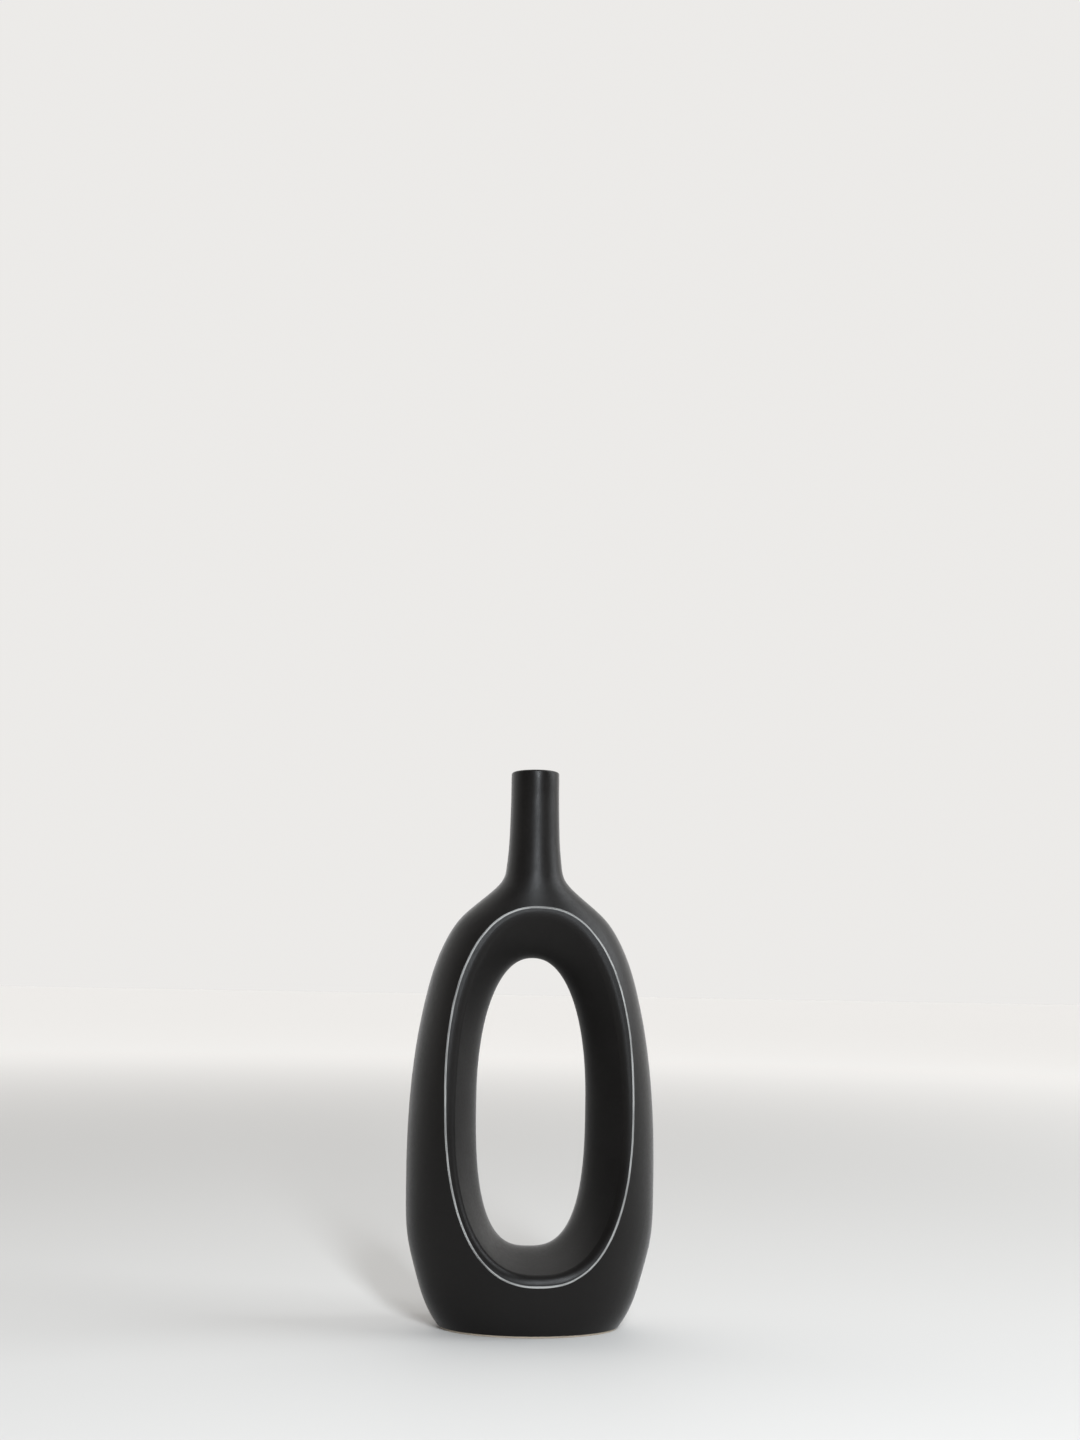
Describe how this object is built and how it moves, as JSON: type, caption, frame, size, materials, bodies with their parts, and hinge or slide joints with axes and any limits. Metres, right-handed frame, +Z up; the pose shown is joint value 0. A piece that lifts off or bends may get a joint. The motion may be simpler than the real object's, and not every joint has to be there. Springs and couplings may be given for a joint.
{
  "type": "bud vase",
  "caption": "Flattened matte black ceramic bud vase with a large oval see-through opening, a slim round neck and a bare clay foot.",
  "frame": {"origin": "centre of the foot's underside, on the surface that the vase stands on", "axes": "+Z up along the neck, -Y out of the front opening, +X to the right seen from the front"},
  "size_m": [0.1344, 0.0668, 0.3],
  "materials": {
    "black_glaze": "matte black glaze with a soft satin sheen",
    "base_glaze": "thin matte black glaze",
    "bare_clay": "unglazed fired stoneware, ground flat"
  },
  "bodies": {
    "root": {"front_shell": "black_glaze", "rear_shell": "black_glaze", "opening_wall": "black_glaze", "neck": "black_glaze", "base_floor": "base_glaze", "foot_ring": "bare_clay"}
  },
  "joints": []
}
